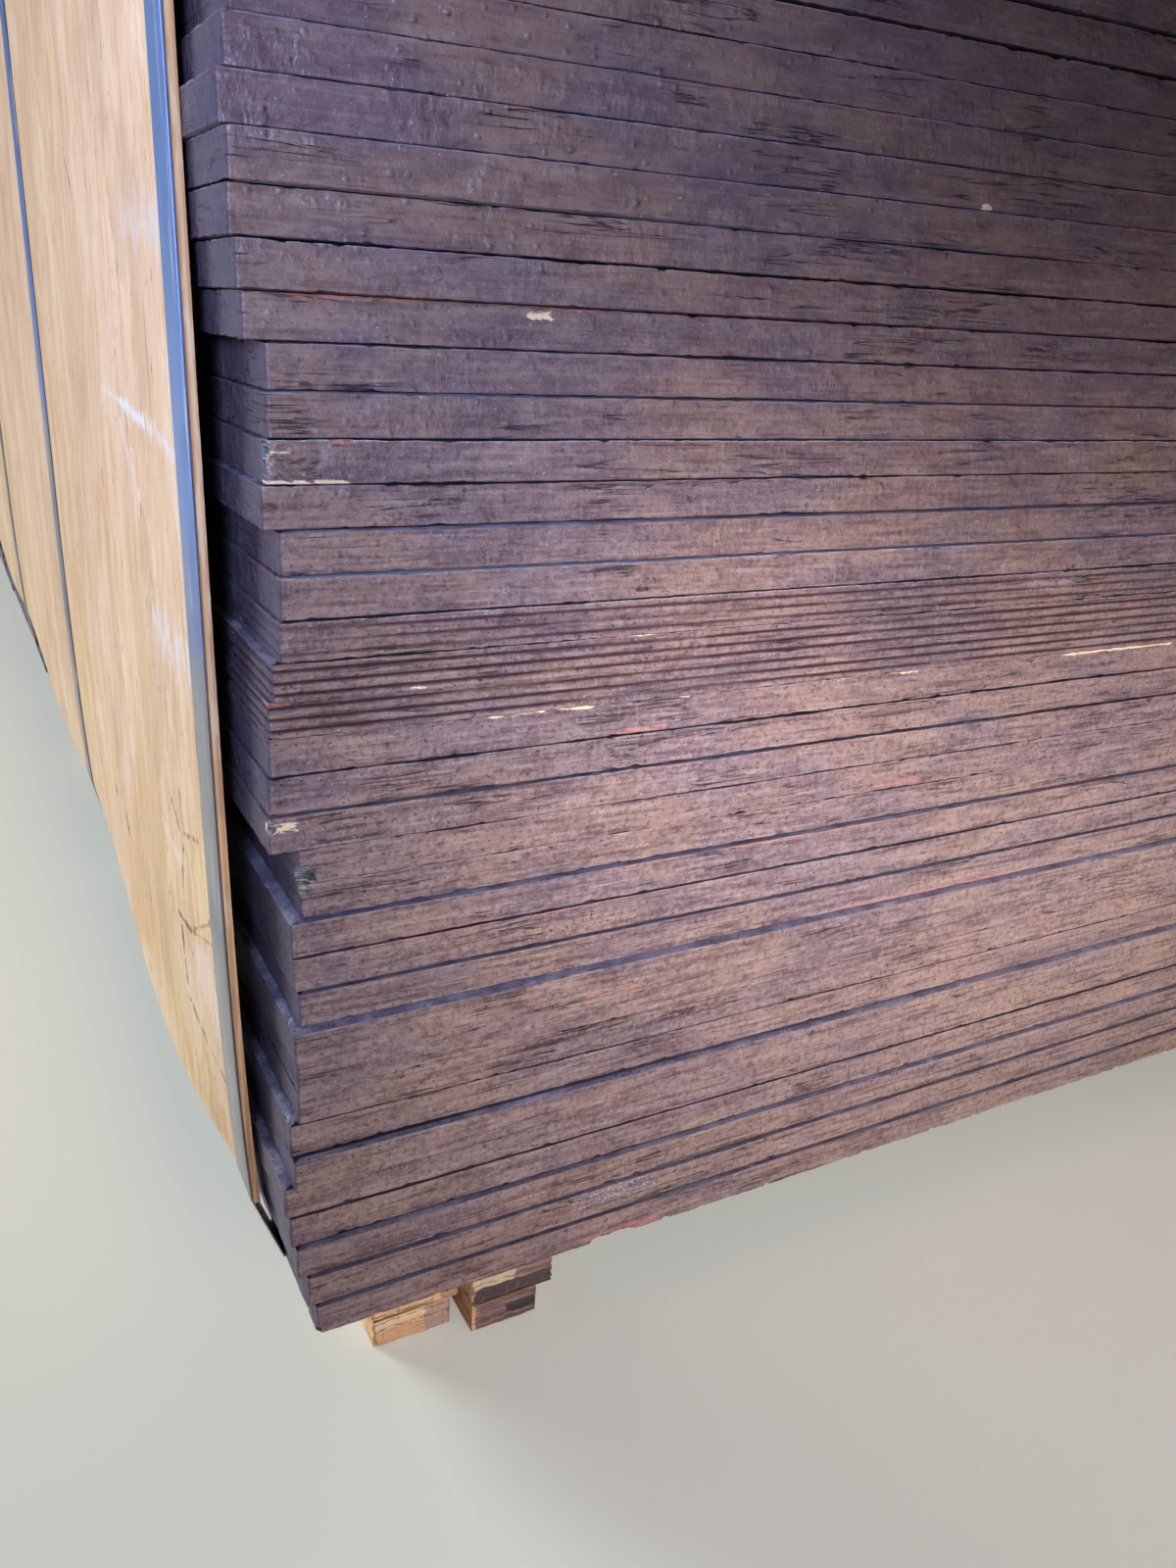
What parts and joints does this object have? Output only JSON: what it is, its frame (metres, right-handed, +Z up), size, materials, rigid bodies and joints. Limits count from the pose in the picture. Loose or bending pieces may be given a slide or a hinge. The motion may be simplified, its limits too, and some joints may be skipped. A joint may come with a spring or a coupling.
{
  "type": "stack of plywood sheets",
  "caption": "Strapped export pack of film-faced plywood sheets with painted edges, thin veneer cover boards, steel straps and low offcut feet.",
  "frame": {"origin": "middle of the pack's footprint, at the underside of the feet", "axes": "+X across the pack, +Y along the sheets from the near end to the far end, +Z up"},
  "size_m": [1.2646, 2.457, 0.852],
  "materials": {
    "painted_ply": "satin sealing paint on the edges, dark phenolic film on the faces",
    "cover_veneer": "raw, dry veneer with scratches and splits",
    "strap_steel": "blued, glossy with scratches",
    "seal_steel": "bare, crimped",
    "offcut_ply": "fresh sawn, part painted"
  },
  "bodies": {
    "root": {"cover_board_left": "cover_veneer", "cover_board_right": "cover_veneer", "cover_board_top": "cover_veneer", "foot_blocks_lower": "offcut_ply", "foot_blocks_upper": "offcut_ply", "sheet_01": "painted_ply", "sheet_02": "painted_ply", "sheet_03": "painted_ply", "sheet_04": "painted_ply", "sheet_05": "painted_ply", "sheet_06": "painted_ply", "sheet_07": "painted_ply", "sheet_08": "painted_ply", "sheet_09": "painted_ply", "sheet_10": "painted_ply", "sheet_11": "painted_ply", "sheet_12": "painted_ply", "sheet_13": "painted_ply", "sheet_14": "painted_ply", "sheet_15": "painted_ply", "sheet_16": "painted_ply", "sheet_17": "painted_ply", "sheet_18": "painted_ply", "sheet_19": "painted_ply", "sheet_20": "painted_ply", "sheet_21": "painted_ply", "sheet_22": "painted_ply", "sheet_23": "painted_ply", "sheet_24": "painted_ply", "sheet_25": "painted_ply", "sheet_26": "painted_ply", "sheet_27": "painted_ply", "sheet_28": "painted_ply", "sheet_29": "painted_ply", "sheet_30": "painted_ply", "sheet_31": "painted_ply", "sheet_32": "painted_ply", "sheet_33": "painted_ply", "sheet_34": "painted_ply", "sheet_35": "painted_ply", "sheet_36": "painted_ply", "sheet_37": "painted_ply", "sheet_38": "painted_ply", "sheet_39": "painted_ply", "sheet_40": "painted_ply", "sheet_41": "painted_ply", "sheet_42": "painted_ply", "sheet_43": "painted_ply", "sheet_44": "painted_ply", "sheet_45": "painted_ply", "steel_strap_1": "strap_steel", "steel_strap_2": "strap_steel", "steel_strap_3": "strap_steel", "steel_strap_4": "strap_steel", "steel_strap_5": "strap_steel", "strap_seals": "seal_steel"}
  },
  "joints": []
}
